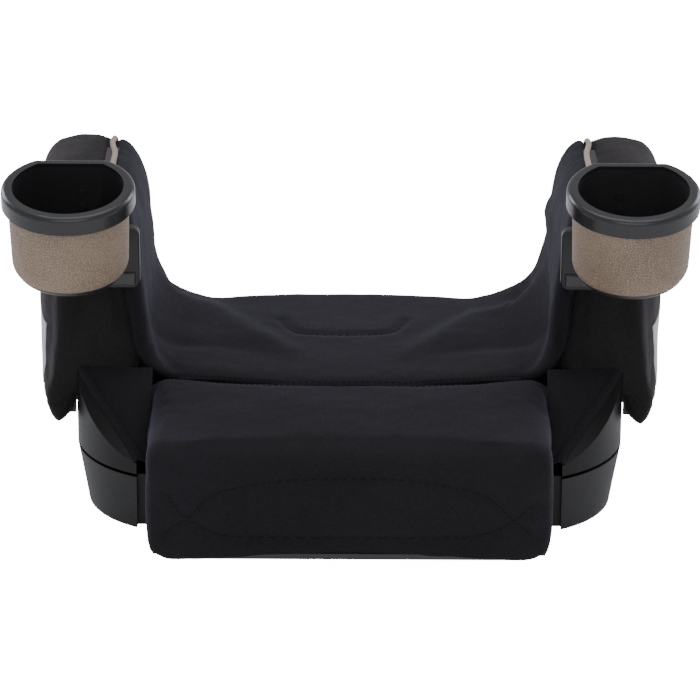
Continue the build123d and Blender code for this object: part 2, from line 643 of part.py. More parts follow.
# ---- all the pieces ----------------------------------------------------------------------
def main():
    os.makedirs("parts", exist_ok=True)
    single = {
        "base_tray": make_base_tray,
        "seat_shell": make_seat_shell,
        "rubber_feet": make_feet,
        "base_screws": make_base_screws,
        "armrest_screws": make_arm_screws,
        "bracket_screws": make_bracket_screws,
        "seat_foam": make_seat_foam,
        "seat_cover": make_seat_cover,
        "cover_hem_strip": make_hem_strip,
    }
    paired = {
        "side_trim": make_side_trim,
        "corner_skirt": make_corner_skirt,
        "bolster_foam": make_bolster_foam,
        "armrest_core": make_arm_core,
        "armrest_foam": make_arm_foam,
        "armrest_cover": make_arm_cover,
        "piping": make_piping,
        "side_label": make_label,
        "cup_bracket": make_bracket,
        "release_tab": make_tab,
        "cup_liner": make_cup_liner,
        "cup_rim": make_cup_rim,
        "cup_wrap": make_cup_wrap,
        "cup_hanger": make_cup_hanger,
        "cup_screws": make_cup_screws,
    }
    nodes = {name: make() for name, make in single.items()}
    for name, make in paired.items():
        made = make()
        shapes = made if isinstance(made, list) else [made]
        nodes["right_" + name] = shapes
        nodes["left_" + name] = [mirror(shape, about=Plane.YZ) for shape in shapes]
    for name, made in nodes.items():
        shapes = made if isinstance(made, list) else [made]
        solids = [solid for shape in shapes for solid in shape.solids()]
        export_step(solids[0] if len(solids) == 1 else Compound(solids), f"parts/{name}.step")


main()
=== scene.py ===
import math
import bmesh
import bpy
from mathutils import Matrix, Vector
from mathutils import noise as hills
from mathutils.bvhtree import BVHTree
from mathutils.kdtree import KDTree


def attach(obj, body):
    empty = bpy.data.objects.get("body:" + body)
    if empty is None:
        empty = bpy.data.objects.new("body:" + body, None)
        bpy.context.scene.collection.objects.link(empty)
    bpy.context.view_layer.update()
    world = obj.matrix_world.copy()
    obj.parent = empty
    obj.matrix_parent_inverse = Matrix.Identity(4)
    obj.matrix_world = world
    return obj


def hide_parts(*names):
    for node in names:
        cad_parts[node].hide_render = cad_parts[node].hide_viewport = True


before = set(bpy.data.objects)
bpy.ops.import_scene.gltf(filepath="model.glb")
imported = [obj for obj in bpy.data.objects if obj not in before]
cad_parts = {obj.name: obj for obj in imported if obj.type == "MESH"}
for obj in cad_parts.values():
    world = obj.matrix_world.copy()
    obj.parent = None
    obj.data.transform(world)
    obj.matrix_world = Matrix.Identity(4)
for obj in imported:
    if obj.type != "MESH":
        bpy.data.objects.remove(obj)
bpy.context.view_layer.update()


# ---- camera, light and floor --------------------------------------------------------------
# The seat stands on a pale studio floor, seen from in front and a little above through a long
# lens, under a large overhead softbox with a fill in front and a cool lamp at each side.
def aim(thing, place, target):
    """Stands a camera or lamp at a place and points it at a target."""
    direction = Vector(target) - Vector(place)
    thing.location = place
    thing.rotation_euler = direction.to_track_quat("-Z", "Y").to_euler()
    bpy.context.scene.collection.objects.link(thing)


LOOK_AT = Vector((0.0, 0.014, 0.106))
CAMERA_DISTANCE = 3.0
CAMERA_ELEVATION = math.radians(23.0)
CAMERA_ROLL = math.radians(0.3)
CAMERA_LENS = 197.8
camera = bpy.data.objects.new("camera", bpy.data.cameras.new("camera"))
camera.data.lens = CAMERA_LENS
camera.data.sensor_width = 36.0
camera.data.clip_end = 50.0
away = Vector((0.0, -math.cos(CAMERA_ELEVATION), math.sin(CAMERA_ELEVATION)))
aim(camera, LOOK_AT + CAMERA_DISTANCE * away, LOOK_AT)
camera.rotation_euler.rotate_axis("Z", CAMERA_ROLL)
bpy.context.scene.camera = camera


LAMP_TARGET = (0.0, 0.0, 0.12)
COOL_WHITE = (0.84, 0.86, 1.0)


def softbox(name, place, size, power, colour=(1.0, 1.0, 1.0)):
    """A rectangular lamp that points at the middle of the seat."""
    lamp = bpy.data.lights.new(name, "AREA")
    lamp.shape = "RECTANGLE"
    lamp.size, lamp.size_y = size
    lamp.energy = power
    lamp.color = colour
    aim(bpy.data.objects.new(name, lamp), place, LAMP_TARGET)


softbox("overhead", (0.0, 0.1, 1.9), (1.6, 1.2), 12.0)
softbox("front_fill", (0.0, -2.2, 1.5), (2.2, 1.2), 14.0)
softbox("left_edge", (-1.5, 1.2, 0.9), (0.8, 1.2), 16.0, COOL_WHITE)
softbox("right_edge", (1.5, 1.2, 0.9), (0.8, 1.2), 16.0, COOL_WHITE)

world = bpy.data.worlds.new("studio")
bpy.context.scene.world = world
world.use_nodes = True
room_light = world.node_tree.nodes["Background"]
room_light.inputs["Color"].default_value = (0.97, 0.98, 1.0, 1.0)
room_light.inputs["Strength"].default_value = 0.55

FLOOR_HALF = 8.0
FLOOR_DROP = 0.0004        # the paper lies just under the rubber feet
FLOOR_GLOW = 16.0          # the paper's brightness to the camera
FLOOR_SHARE = 0.00625      # and the share of it that lights the seat
floor_shape = bmesh.new()
bmesh.ops.create_grid(floor_shape, x_segments=2, y_segments=2, size=FLOOR_HALF)
bmesh.ops.translate(floor_shape, verts=floor_shape.verts, vec=(0.0, 0.0, -FLOOR_DROP))
floor = bpy.data.objects.new("studio_floor", bpy.data.meshes.new("studio_floor"))
floor_shape.to_mesh(floor.data)
floor_shape.free()
bpy.context.scene.collection.objects.link(floor)
floor_paper = bpy.data.materials.new("studio_paper")
floor_paper.use_nodes = True
paper_shader = floor_paper.node_tree.nodes["Principled BSDF"]
paper_shader.inputs["Base Color"].default_value = (0.9, 0.9, 0.9, 1.0)
paper_shader.inputs["Roughness"].default_value = 0.9
paper_shader.inputs["Emission Strength"].default_value = FLOOR_GLOW
paper_rays = floor_paper.node_tree.nodes.new("ShaderNodeLightPath")
paper_glow = floor_paper.node_tree.nodes.new("ShaderNodeMapRange")
paper_glow.inputs["To Min"].default_value = FLOOR_SHARE
floor_paper.node_tree.links.new(paper_rays.outputs["Is Camera Ray"], paper_glow.inputs["Value"])
floor_paper.node_tree.links.new(paper_glow.outputs["Result"], paper_shader.inputs["Emission Color"])
floor.data.materials.append(floor_paper)


# ---- moulded base: tray, side trims and seat shell ----------------------------------------
# Three injection mouldings in dark grey polypropylene with a fine spark-eroded grain. The tray is coloured
# near black as painted shade. The trims clip on the tray and the shell is screwed down on it, leaving a
# groove all round.
def node_group(name, inputs, outputs):
    """An empty shader group with float inputs (name, value) and outputs (name, socket type)."""
    group = bpy.data.node_groups.new(name, "ShaderNodeTree")
    for label, value in inputs:
        socket = group.interface.new_socket(label, in_out="INPUT", socket_type="NodeSocketFloat")
        socket.default_value = value
    for label, kind in outputs:
        group.interface.new_socket(label, in_out="OUTPUT", socket_type=kind)
    return group, group.nodes.new("NodeGroupInput"), group.nodes.new("NodeGroupOutput")


def add_node(tree, kind, values=(), **settings):
    """A node with its settings and input values; a socket as a value becomes a link."""
    node = tree.nodes.new(kind)
    for key, value in settings.items():
        setattr(node, key, value)
    for key, value in dict(values).items():
        if isinstance(value, bpy.types.NodeSocket):
            tree.links.new(value, node.inputs[key])
        else:
            node.inputs[key].default_value = value
    return node


def noise(tree, where, scale, detail=2.0):
    """Smooth random patches at a place."""
    values = {"Vector": where, "Scale": scale, "Detail": detail}
    return add_node(tree, "ShaderNodeTexNoise", values).outputs["Fac"]


def math_node(tree, operation, first, second):
    """The result of an operation on two values or sockets."""
    return add_node(tree, "ShaderNodeMath", {0: first, 1: second}, operation=operation).outputs[0]


GRAIN_SIZE = 1500.0
GRAIN_DEPTH = 0.3
GRAIN_RELIEF = 0.00012
ROUGH_SPREAD = 0.05
grain, grain_in, grain_out = node_group(
    "moulded_grain",
    [("Grain size", GRAIN_SIZE), ("Depth", GRAIN_DEPTH)],
    [("Tone", "NodeSocketFloat"), ("Height", "NodeSocketFloat")],
)
grain_place = add_node(grain, "ShaderNodeTexCoord").outputs["Object"]
grain_fine = add_node(
    grain, "ShaderNodeTexNoise",
    {"Vector": grain_place, "Scale": grain_in.outputs["Grain size"], "Detail": 3.0},
).outputs["Fac"]
grain_broad = noise(grain, grain_place, 14.0, 3.0)
grain.links.new(grain_broad, grain_out.inputs["Tone"])
grain_height = math_node(grain, "MULTIPLY", grain_fine, grain_in.outputs["Depth"])
grain.links.new(grain_height, grain_out.inputs["Height"])


def new_material(name, **shader_values):
    """A node material whose Principled shader holds these constants."""
    material = bpy.data.materials.new(name)
    material.use_nodes = True
    shader = material.node_tree.nodes["Principled BSDF"]
    for key, value in shader_values.items():
        shader.inputs[key.replace("_", " ")].default_value = value
    return material, material.node_tree, shader


def colour_range(tree, amount, dark, light, low=0.35, high=0.65):
    """A colour that runs from dark to light as amount goes from low to high."""
    ramp = add_node(tree, "ShaderNodeValToRGB", {"Fac": amount})
    ramp.color_ramp.elements[0].position = low
    ramp.color_ramp.elements[0].color = (*dark, 1.0)
    ramp.color_ramp.elements[1].position = high
    ramp.color_ramp.elements[1].color = (*light, 1.0)
    return ramp.outputs["Color"]


def bump(tree, shader, height, distance, strength=1.0):
    """Raises the shader's normal by a height."""
    values = {"Height": height, "Distance": distance, "Strength": strength}
    node = add_node(tree, "ShaderNodeBump", values)
    tree.links.new(node.outputs["Normal"], shader.inputs["Normal"])


def plastic(name, dark, light, rough, grain_size=GRAIN_SIZE, depth=GRAIN_DEPTH, specular=0.5):
    """Moulded plastic: a broad change of tone, duller and shinier patches, and a fine grain."""
    material, tree, shader = new_material(name, Specular_IOR_Level=specular)
    effect = add_node(tree, "ShaderNodeGroup", node_tree=grain)
    effect.inputs["Grain size"].default_value = grain_size
    effect.inputs["Depth"].default_value = depth
    tone = effect.outputs["Tone"]
    tree.links.new(colour_range(tree, tone, dark, light), shader.inputs["Base Color"])
    dull = add_node(
        tree, "ShaderNodeMapRange",
        {"Value": tone, "From Min": 0.3, "From Max": 0.7,
         "To Min": rough - ROUGH_SPREAD, "To Max": rough + ROUGH_SPREAD},
    )
    tree.links.new(dull.outputs["Result"], shader.inputs["Roughness"])
    bump(tree, shader, effect.outputs["Height"], GRAIN_RELIEF)
    return material


def repaint(material, *nodes):
    """Gives CAD nodes a material in place of their plain one."""
    for name in nodes:
        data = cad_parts[name].data
        data.materials.clear()
        data.materials.append(material)


SIDES = {"left": -1.0, "right": 1.0}
shell_plastic = plastic("shell_plastic", (0.004, 0.004, 0.0045), (0.006, 0.006, 0.0068), 0.40, specular=0.3)
trim_plastic = plastic("trim_plastic", (0.011, 0.011, 0.012), (0.015, 0.015, 0.0165), 0.42, specular=0.4)
# Painted shade: the tray is made near black and dull so it reads as the shadow in the slots beside the
# nose, where it shows.
tray_painted_shade = plastic("tray_painted_shade", (0.0025, 0.0025, 0.0028), (0.004, 0.004, 0.0044), 0.6, specular=0.15)
repaint(shell_plastic, "seat_shell")
repaint(tray_painted_shade, "base_tray")
repaint(trim_plastic, "left_side_trim", "right_side_trim")


# ---- small fittings: feet, screws, frames and hem strip ------------------------------------
# Rubber feet are pressed into the tray. Zinc-plated screws hold the mouldings together, and
# the hidden armrest frames and the strip in the flap's hem are unpainted black plastic.
foot_rubber = plastic("foot_rubber", (0.012, 0.012, 0.012), (0.02, 0.02, 0.02), 0.8, 700.0, 0.6)
repaint(foot_rubber, "rubber_feet")
frame_plastic = plastic("frame_plastic", (0.03, 0.03, 0.03), (0.045, 0.045, 0.045), 0.55)
repaint(frame_plastic, "left_armrest_core", "right_armrest_core", "cover_hem_strip")

screw_steel, steel_tree, steel_shader = new_material("screw_steel", Metallic=1.0)
steel_place = add_node(steel_tree, "ShaderNodeTexCoord").outputs["Object"]
steel_tone = noise(steel_tree, steel_place, 900.0, 2.0)
steel_tree.links.new(colour_range(steel_tree, steel_tone, (0.35, 0.35, 0.36), (0.55, 0.55, 0.57)),
                     steel_shader.inputs["Base Color"])
steel_range = {"Value": steel_tone, "To Min": 0.25, "To Max": 0.5}
steel_rough = add_node(steel_tree, "ShaderNodeMapRange", steel_range)
steel_tree.links.new(steel_rough.outputs["Result"], steel_shader.inputs["Roughness"])
bump(steel_tree, steel_shader, steel_tone, 0.00005)
repaint(screw_steel, "base_screws", "armrest_screws", "bracket_screws")


# ---- rear seat panel ------------------------------------------------------------------------
# One padded panel of navy knit laminated to foam. It runs from the piping on one armrest down
# its inner wall, across the seat and up the other, and is sewn to the nose panel at the front.
def knit_group():
    """Fine knit of rows and stitches on object coordinates, with broad soft patches."""
    group, inlet, outlet = node_group(
        "knit", [("Rows per metre", 900.0), ("Fuzz", 0.35)],
        [("Tone", "NodeSocketFloat"), ("Height", "NodeSocketFloat")],
    )
    place = add_node(group, "ShaderNodeTexCoord").outputs["Object"]
    cell = add_node(group, "ShaderNodeTexVoronoi",
                    {"Vector": place, "Scale": inlet.outputs["Rows per metre"]}).outputs["Distance"]
    fuzz = noise(group, place, 2600.0, 2.0)
    broad = noise(group, place, 9.0, 4.0)
    fleck = noise(group, place, 420.0, 3.0)
    mixed = math_node(group, "ADD", math_node(group, "MULTIPLY", broad, 0.55),
                      math_node(group, "MULTIPLY", fleck, 0.45))
    group.links.new(mixed, outlet.inputs["Tone"])
    height = math_node(group, "ADD", cell, math_node(group, "MULTIPLY", fuzz, inlet.outputs["Fuzz"]))
    group.links.new(height, outlet.inputs["Height"])
    return group


knit = knit_group()


def cloth(name, dark, light, sheen, tint, rows=900.0, rough=0.85, depth=0.00035):
    """Knit fabric with a soft sheen where it turns away."""
    material, tree, shader = new_material(
        name, Roughness=rough, Sheen_Weight=sheen, Sheen_Roughness=0.35,
        Sheen_Tint=(*tint, 1.0), Specular_IOR_Level=0.25,
    )
    effect = add_node(tree, "ShaderNodeGroup", node_tree=knit)
    effect.inputs["Rows per metre"].default_value = rows
    tone = colour_range(tree, effect.outputs["Tone"], dark, light, 0.38, 0.62)
    tree.links.new(tone, shader.inputs["Base Color"])
    bump(tree, shader, effect.outputs["Height"], depth, 0.6)
    return material


navy_knit = cloth(
    "navy_knit", (0.0062, 0.0058, 0.0080), (0.0100, 0.0094, 0.0128), 0.075, (0.62, 0.56, 0.95),
)


def new_piece(name, shape, material):
    """Turns a bmesh into a piece in the scene."""
    mesh = bpy.data.meshes.new(name)
    shape.to_mesh(mesh)
    shape.free()
    mesh.materials.append(material)
    mesh.shade_smooth()
    piece = bpy.data.objects.new(name, mesh)
    bpy.context.scene.collection.objects.link(piece)
    return piece


def settle(piece):
    """Makes what a piece's modifiers show its own mesh."""
    shown = piece.evaluated_get(bpy.context.evaluated_depsgraph_get())
    mesh = bpy.data.meshes.new_from_object(shown)
    mesh.name = piece.name
    piece.modifiers.clear()
    piece.data = mesh


def solid_sheet(piece, thickness):
    """Gives an open sheet its thickness behind its visible face."""
    wall = piece.modifiers.new("thickness", "SOLIDIFY")
    wall.thickness = thickness
    wall.offset = -1.0
    settle(piece)


CLOTH_FRAMES = 20
PAD_MESH = 0.0045          # size of a padded piece's faces before they are made finer
PUFF_CAP = 0.002           # no point of a pad moves further than this
PAD_HILLS = ((32.0, 0.0007), (95.0, 0.00025))


def puff(piece, pressure):
    """Fills a closed pad with air under cloth simulation and makes its face a little uneven."""
    remesh = piece.modifiers.new("even_mesh", "REMESH")
    remesh.mode = "VOXEL"
    remesh.voxel_size = PAD_MESH
    settle(piece)
    before = [vertex.co.copy() for vertex in piece.data.vertices]
    fabric = piece.modifiers.new("cloth", "CLOTH")
    fabric.settings.quality = 4
    fabric.settings.mass = 0.3
    fabric.settings.use_pressure = True
    fabric.settings.uniform_pressure_force = pressure
    fabric.settings.effector_weights.gravity = 0.0
    fabric.point_cache.frame_start = 1
    fabric.point_cache.frame_end = CLOTH_FRAMES
    for step in range(1, CLOTH_FRAMES + 1):
        bpy.context.scene.frame_set(step)
    settle(piece)
    bpy.context.scene.frame_set(1)
    for vertex, start in zip(piece.data.vertices, before):
        move = vertex.co - start
        if move.length > PUFF_CAP:
            vertex.co = start + move * (PUFF_CAP / move.length)
    finer = piece.modifiers.new("finer", "SUBSURF")
    finer.levels = finer.render_levels = 1
    settle(piece)
    outward = [vertex.normal.copy() for vertex in piece.data.vertices]
    for vertex, normal in zip(piece.data.vertices, outward):
        swell = sum(hills.noise(vertex.co * fineness) * height for fineness, height in PAD_HILLS)
        vertex.co += normal * swell
    piece.data.shade_smooth()


def smooth_step(low, high, value):
    """Rises smoothly from 0 at low to 1 at high."""
    share = min(max((value - low) / (high - low), 0.0), 1.0)
    return share * share * (3.0 - 2.0 * share)


def mix(start, end, share):
    """A value or place at a share of the way from start to end."""
    return start + (end - start) * share


PANEL_REAR = 0.165
DECK = 0.0775              # the panel's rear edge is tucked down to the shell and the armrest
ARM_SIDE = 0.1650
SEAT_LOW = 0.0935          # height of the seat at its rear
SEAT_HIGH = 0.0985         # and at the cross seam
WALL_FOOT = 0.1595
WALL_TOP = (0.1680, 0.1630)
FRONT_SPREAD = 0.008       # the wall's foot stands this much closer in at the front
ARM_CREST = (0.2400, 0.2335)  # height of the armrest's inner top edge, front and rear
CREST_ROUND = (0.0070, 0.0250)
CREST_FALL = (0.0100, 0.0480)
SEAM_CENTRE = -0.0375      # the cross seam is bowed forward in the middle
SEAM_SIDE = -0.0315
WALL_FRONT = -0.0285
BELLY = {-1.0: 0.0010, 1.0: 0.0042}  # the right bolster is stuffed a little fuller
REAR_TURN = {-1.0: 0.050, 1.0: 0.066}
REAR_CROWN = 0.0025
DISH = 0.0055              # the dish for the child is this much deeper than the seat's sides
SEAT_SHARE = 0.45          # shares of the way from the middle to the piping: the seat's end,
TURN_SHARE = 0.60          # the end of the turn up into the wall,
WALL_SHARE = 0.90          # and the end of the wall
FRONT_SHARE = 0.10         # shares of the way from front to rear: the end of the front edge,
REAR_SHARE = 0.90          # the start of the rear edge,
CLOSE_SHARE = 0.95         # and where the rear edge starts to close down
SEAM_ROUND = 0.005         # the cloth is rounded this much where it is sewn
WALL_ROUND = 0.013
REAR_ROUND = 0.016
PAD_THICK = 0.009


def raised_side(x, y):
    """How far the seat stands above the dish, which widens towards the rear."""
    edge = 0.054 + 0.64 * (y - 0.050)
    beside = smooth_step(edge - 0.010, edge + 0.014, abs(x))
    ahead = 1.0 - smooth_step(0.010, 0.050, y)
    return DISH * max(beside * smooth_step(0.0, 0.06, y), ahead * smooth_step(0.03, 0.14, abs(x)))


def panel_section(across, y, depth, belly, rear_turn):
    """Point and outward normal (x and z parts) on the panel's cross-section."""
    turn = mix(0.020, rear_turn, smooth_step(-0.01, 0.15, y))
    foot = WALL_FOOT - FRONT_SPREAD * (1.0 - smooth_step(-0.03, 0.05, y))
    widening = smooth_step(-0.03, 0.07, y)
    crest_round = mix(*CREST_ROUND, widening)
    crest_fall = mix(*CREST_FALL, widening)
    wall_top = mix(*WALL_TOP, widening)
    low = mix(SEAT_HIGH, SEAT_LOW, smooth_step(-0.04, 0.14, y))
    crest = mix(ARM_CREST[0], ARM_CREST[1], depth)
    flat_end = foot - turn
    if across < SEAT_SHARE:
        x = across / SEAT_SHARE * flat_end
        crown = REAR_CROWN * smooth_step(0.02, 0.15, y) * max(1.0 - (x / 0.1) ** 2, 0.0)
        return x, low + raised_side(x, y) + crown, 0.0, 1.0
    lift = raised_side(flat_end, y)
    if across < TURN_SHARE:
        angle = (across - SEAT_SHARE) / (TURN_SHARE - SEAT_SHARE) * math.pi / 2
        x = flat_end + turn * math.sin(angle)
        return x, low + lift + turn * (1.0 - math.cos(angle)), -math.sin(angle), math.cos(angle)
    base = low + lift + turn
    top = crest - crest_fall
    if across < WALL_SHARE:
        up = (across - TURN_SHARE) / (WALL_SHARE - TURN_SHARE)
        swell = belly * math.sin(math.pi * up)
        return mix(foot, wall_top, smooth_step(-0.3, 1.0, up)) - swell, mix(base, top, up), -1.0, 0.0
    angle = (across - WALL_SHARE) / (1.0 - WALL_SHARE) * math.pi / 2
    x = wall_top + crest_round * (1.0 - math.cos(angle))
    return x, top + crest_fall * math.sin(angle) ** 1.25, -math.cos(angle), math.sin(angle)


def panel_point(across, along):
    """Point on the rear panel; its front and rear edges turn in behind its face."""
    side = -1.0 if across < 0.0 else 1.0
    share = abs(across)
    on_wall = smooth_step(SEAT_SHARE, TURN_SHARE + 0.02, share)
    seam_y = mix(SEAM_CENTRE, SEAM_SIDE, min(share / SEAT_SHARE, 1.0) ** 2)
    front = mix(seam_y, WALL_FRONT, on_wall)
    front_round = mix(SEAM_ROUND, WALL_ROUND, on_wall)
    rear_round = mix(REAR_ROUND, WALL_ROUND, on_wall)
    inwards = 0.0
    closing = 0.0
    if along < FRONT_SHARE:
        angle = (1.0 - along / FRONT_SHARE) * math.pi / 2
        inwards = front_round * (1.0 - math.cos(angle))
        y = front + front_round - front_round * math.sin(angle)
    elif along > REAR_SHARE:
        angle = min((along - REAR_SHARE) / (CLOSE_SHARE - REAR_SHARE), 1.0) * math.pi / 2
        inwards = rear_round * (1.0 - math.cos(angle))
        closing = max((along - CLOSE_SHARE) / (1.0 - CLOSE_SHARE), 0.0)
        y = PANEL_REAR - rear_round + rear_round * math.sin(angle)
    else:
        middle = (along - FRONT_SHARE) / (REAR_SHARE - FRONT_SHARE)
        y = mix(front + front_round, PANEL_REAR - rear_round, middle)
    depth = smooth_step(0.0, 1.0, along)
    x, z, normal_x, normal_z = panel_section(share, y, depth, BELLY[side], REAR_TURN[side])
    to_arm = (ARM_SIDE - x) / max(-normal_x, 0.001)
    to_deck = (z - DECK) / max(normal_z, 0.001)
    inwards = mix(inwards, max(min(to_arm, to_deck), inwards), closing)
    return Vector((side * (x - normal_x * inwards), y, z - normal_z * inwards))


panel_shape = bmesh.new()
bmesh.ops.create_grid(panel_shape, x_segments=150, y_segments=80, size=0.5)
for corner in panel_shape.verts:
    corner.co = panel_point(2.0 * corner.co.x, corner.co.y + 0.5)
seat_panel = new_piece("seat_rear_panel", panel_shape, navy_knit)
solid_sheet(seat_panel, PAD_THICK)
puff(seat_panel, 3.0)
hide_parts("seat_foam", "left_bolster_foam", "right_bolster_foam")
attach(seat_panel, "base")


# ---- nose panel ------------------------------------------------------------------------------
# The front half of the seat: navy knit over foam, pulled over the nose and tucked in under it.
# Its sides go down into the slots beside the nose, and its hem holds a stiff strip.
NOSE_HALF = 0.1520
NOSE_ROUND = 0.011
NOSE_CREST = 0.1035
NOSE_TOP_EDGE = -0.157
NOSE_FACE = -0.1745
NOSE_TURN = 0.0175
NOSE_LEAN = 0.002
HEM_LOW = 0.0095
HEM_RISE = 0.0035
HEM_TURN = 0.009
HEM_CORNER = 0.012
NOSE_STRETCHES = (0.006, 0.116, 0.0275, 0.060, 0.0140, 0.006)
NOSE_SHARE = 0.70          # shares of the way from the middle to the side: the end of the front
NOSE_TURN_SHARE = 0.80     # and the end of the turn down into the slot
SLOT_FRONT = -0.140
SLOT_REAR = -0.058
SLOT_LOW = 0.034
SLOT_HIGH = 0.070


def nose_outline(run, x):
    """Point and outward normal (y and z parts) at a distance along the nose's side view."""
    bow = 1.0 - min(abs(x) / NOSE_HALF, 1.0) ** 2
    seam_y = mix(SEAM_SIDE, SEAM_CENTRE, bow) + 0.0045
    hem = HEM_LOW + HEM_RISE * 0.5 * (1.0 + math.cos(math.pi * min(abs(x) / 0.11, 1.0)))
    side_lift = 0.0045 * (1.0 - bow)
    seam_turn, top, corner, face, low_turn, _ = NOSE_STRETCHES
    if run < seam_turn:
        angle = (1.0 - run / seam_turn) * math.pi / 2
        y = seam_y - SEAM_ROUND + SEAM_ROUND * math.sin(angle)
        z = SEAT_HIGH + side_lift - SEAM_ROUND * (1.0 - math.cos(angle))
        return y, z, math.sin(angle), math.cos(angle)
    run -= seam_turn
    if run < top:
        share = run / top
        crown = 0.003 * math.sin(math.pi * share) * bow
        z = mix(SEAT_HIGH + side_lift, NOSE_CREST, share) + crown
        return mix(seam_y - SEAM_ROUND, NOSE_TOP_EDGE, share), z, 0.0, 1.0
    run -= top
    if run < corner:
        angle = run / corner * math.pi / 2
        y = NOSE_TOP_EDGE - (NOSE_TOP_EDGE - NOSE_FACE) * math.sin(angle)
        return y, NOSE_CREST - NOSE_TURN * (1.0 - math.cos(angle)), -math.sin(angle), math.cos(angle)
    run -= corner
    low = hem + HEM_TURN
    if run < face:
        share = run / face
        belly = 0.0018 * math.sin(math.pi * share) * bow
        y = NOSE_FACE - belly + NOSE_LEAN * share
        return y, mix(NOSE_CREST - NOSE_TURN, low, share), -1.0, 0.0
    run -= face
    if run < low_turn:
        angle = run / low_turn * math.pi / 2
        y = NOSE_FACE + NOSE_LEAN + HEM_TURN * (1.0 - math.cos(angle))
        return y, low - HEM_TURN * math.sin(angle), -math.cos(angle), -math.sin(angle)
    run -= low_turn
    return NOSE_FACE + NOSE_LEAN + HEM_TURN + run, hem + 0.2 * run, 0.0, -1.0


def nose_point(across, along):
    """Point on the nose panel, whose sides turn down into the side slots."""
    side = -1.0 if across < 0.0 else 1.0
    share = abs(across)
    flat = NOSE_HALF - NOSE_ROUND
    run = along * sum(NOSE_STRETCHES)
    x = min(share / NOSE_SHARE, 1.0) * flat
    y, z, normal_y, normal_z = nose_outline(run, x)
    low = 1.0 - smooth_step(HEM_LOW, HEM_LOW + HEM_CORNER, z)
    x -= HEM_CORNER * low * low * x / flat
    if share <= NOSE_SHARE:
        return Vector((side * x, y, z))
    angle = min((share - NOSE_SHARE) / (NOSE_TURN_SHARE - NOSE_SHARE), 1.0) * math.pi / 2
    x += NOSE_ROUND * math.sin(angle)
    inwards = mix(NOSE_ROUND, 0.004, low) * (1.0 - math.cos(angle))
    y -= normal_y * inwards
    z -= normal_z * inwards
    deep = max(share - NOSE_TURN_SHARE, 0.0) / (1.0 - NOSE_TURN_SHARE)
    y = mix(y, min(max(y, SLOT_FRONT), SLOT_REAR), deep)
    z = mix(z, min(max(z, SLOT_LOW), SLOT_HIGH), deep)
    return Vector((side * x, y, z))


nose_shape = bmesh.new()
bmesh.ops.create_grid(nose_shape, x_segments=120, y_segments=90, size=0.5)
for corner in nose_shape.verts:
    corner.co = nose_point(2.0 * corner.co.x, 0.5 - corner.co.y)
nose_panel = new_piece("seat_nose_panel", nose_shape, navy_knit)
solid_sheet(nose_panel, PAD_THICK)
puff(nose_panel, 3.0)
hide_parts("seat_cover")
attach(nose_panel, "base")


# ---- cross seam of the seat ------------------------------------------------------------------
# Sewing thread where the rear panel meets the nose panel, and the two rows of top stitching:
# a shallow smile across the seat and a flat lens shape on the front of the nose.
thread, thread_tree, thread_shader = new_material("navy_thread", Roughness=0.85, Specular_IOR_Level=0.2)
thread_place = add_node(thread_tree, "ShaderNodeTexCoord").outputs["Object"]
thread_wave = add_node(thread_tree, "ShaderNodeTexWave", {"Vector": thread_place, "Scale": 900.0})
thread_twist = thread_wave.outputs["Fac"]
thread_tone = colour_range(
    thread_tree, thread_twist, (0.008, 0.0075, 0.010), (0.016, 0.015, 0.020), 0.2, 0.8,
)
thread_tree.links.new(thread_tone, thread_shader.inputs["Base Color"])
bump(thread_tree, thread_shader, thread_twist, 0.0002)


def surface_of(*pieces):
    """Ray-casting trees of finished pieces."""
    trees = []
    for piece in pieces:
        shape = bmesh.new()
        shape.from_mesh(piece.data)
        trees.append(BVHTree.FromBMesh(shape))
        shape.free()
    return trees


def drop(trees, place, direction):
    """Nearest point and normal that a ray meets on any of the surfaces."""
    hits = [tree.ray_cast(place, direction) for tree in trees]
    hits = [hit for hit in hits if hit[0] is not None]
    return min(hits, key=lambda hit: hit[3])[:2] if hits else None


def on_curve(a, b, c, d, t):
    """Place between b and c, at a share t, on the smooth curve that a and d lead into and out of."""
    bend = 2 * a - 5 * b + 4 * c - d
    twist = 3 * b - a - 3 * c + d
    return 0.5 * ((2 * b) + (c - a) * t + bend * t * t + twist * t ** 3)


def through(points, share):
    """Point at a share of a smooth curve through control points."""
    spans = len(points) - 1
    index = min(int(share * spans), spans - 1)
    near = [Vector(points[min(max(index + step, 0), spans)]) for step in (-1, 0, 1, 2)]
    return on_curve(*near, share * spans - index)


STITCH_PITCH = 0.0042
STITCH_RADIUS = 0.00042
STITCH_ENDS = (0.12, 0.80)     # a stitch runs between these shares of its pitch
STITCH_PROUD = 0.35            # and stands this share of its radius above the cloth


def stitch_row(shape, trees, points, direction):
    """A row of short thread stitches along a curve cast on to a surface."""
    length = sum((Vector(b) - Vector(a)).length for a, b in zip(points, points[1:]))
    count = max(int(length / STITCH_PITCH), 1)
    for number in range(count):
        ends = [drop(trees, through(points, (number + part) / count), direction) for part in STITCH_ENDS]
        if None in ends:
            continue
        start, end = (hit[0] + hit[1] * STITCH_RADIUS * STITCH_PROUD for hit in ends)
        along = end - start
        if along.length > 2.0 * STITCH_PITCH:
            continue
        middle = Matrix.Translation((start + end) / 2)
        turn = along.to_track_quat("Z", "Y").to_matrix().to_4x4()
        size = Matrix.Diagonal((STITCH_RADIUS, STITCH_RADIUS, along.length / 2, 1.0))
        bmesh.ops.create_icosphere(shape, subdivisions=1, radius=1.0, matrix=middle @ turn @ size)


GROOVE_STEPS = 240


